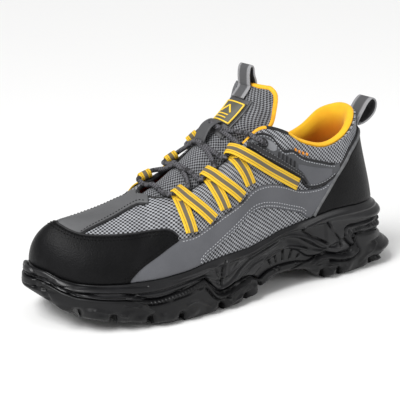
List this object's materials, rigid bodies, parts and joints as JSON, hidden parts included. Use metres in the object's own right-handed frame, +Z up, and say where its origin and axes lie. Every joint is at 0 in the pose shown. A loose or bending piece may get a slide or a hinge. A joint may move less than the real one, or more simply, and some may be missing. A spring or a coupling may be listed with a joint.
{
  "type": "safety sneaker",
  "caption": "Low-cut safety sneaker for the left foot: hollow mesh upper with black toe cap and heel counter, webbing lace loops, padded tongue and collar, stepped rubber sole.",
  "frame": {"origin": "on the floor, under the middle of the heel tread, on the shoe's length axis", "axes": "+X towards the toe, +Y to the outer (lateral) side of this left shoe, +Z up"},
  "size_m": [0.3013, 0.107, 0.1593],
  "materials": {
    "outsole": "matte black moulded rubber",
    "midsole": "matte black polyurethane foam with a moulded skin",
    "insole": "knitted cover on foam",
    "upper": "woven grey and white mesh",
    "collar_lining": "padded knit, orange",
    "tongue": "padded mesh with a yellow binding",
    "toe_cap": "black coated microfibre with a fine grain",
    "vamp_strip": "smooth dark grey coated microfibre",
    "side_panel_lateral": "smooth dark grey coated microfibre, stitched",
    "side_panel_medial": "smooth dark grey coated microfibre, stitched",
    "quarter_support_lateral": "moulded dark grey film with ribs",
    "quarter_support_medial": "moulded dark grey film with ribs",
    "heel_counter": "black coated microfibre with a fine grain",
    "lace_loop_lateral_1": "woven webbing, yellow with a grey middle stripe",
    "lace_loop_lateral_2": "woven webbing, yellow with a grey middle stripe",
    "lace_loop_lateral_3": "woven webbing, yellow with a grey middle stripe",
    "lace_loop_medial_1": "woven webbing, yellow with a grey middle stripe",
    "lace_loop_medial_2": "woven webbing, yellow with a grey middle stripe",
    "lace_loop_medial_3": "woven webbing, yellow with a grey middle stripe",
    "laces": "braided dark grey cord with black flecks",
    "lace_keeper": "dark grey webbing",
    "tongue_badge": "moulded dark grey badge with a yellow border",
    "tongue_pull_loop": "grey webbing with light edges",
    "heel_pull_loop": "grey webbing with light edges",
    "collar_tab": "printed orange tab with plain bars"
  },
  "bodies": {
    "root": {"outsole": "outsole", "midsole": "midsole", "insole": "insole", "upper": "upper", "collar_lining": "collar_lining", "tongue": "tongue", "toe_cap": "toe_cap", "vamp_strip": "vamp_strip", "side_panel_lateral": "side_panel_lateral", "side_panel_medial": "side_panel_medial", "quarter_support_lateral": "quarter_support_lateral", "quarter_support_medial": "quarter_support_medial", "heel_counter": "heel_counter", "lace_loop_lateral_1": "lace_loop_lateral_1", "lace_loop_lateral_2": "lace_loop_lateral_2", "lace_loop_lateral_3": "lace_loop_lateral_3", "lace_loop_medial_1": "lace_loop_medial_1", "lace_loop_medial_2": "lace_loop_medial_2", "lace_loop_medial_3": "lace_loop_medial_3", "laces": "laces", "lace_keeper": "lace_keeper", "tongue_badge": "tongue_badge", "tongue_pull_loop": "tongue_pull_loop", "heel_pull_loop": "heel_pull_loop", "collar_tab": "collar_tab"}
  },
  "joints": []
}
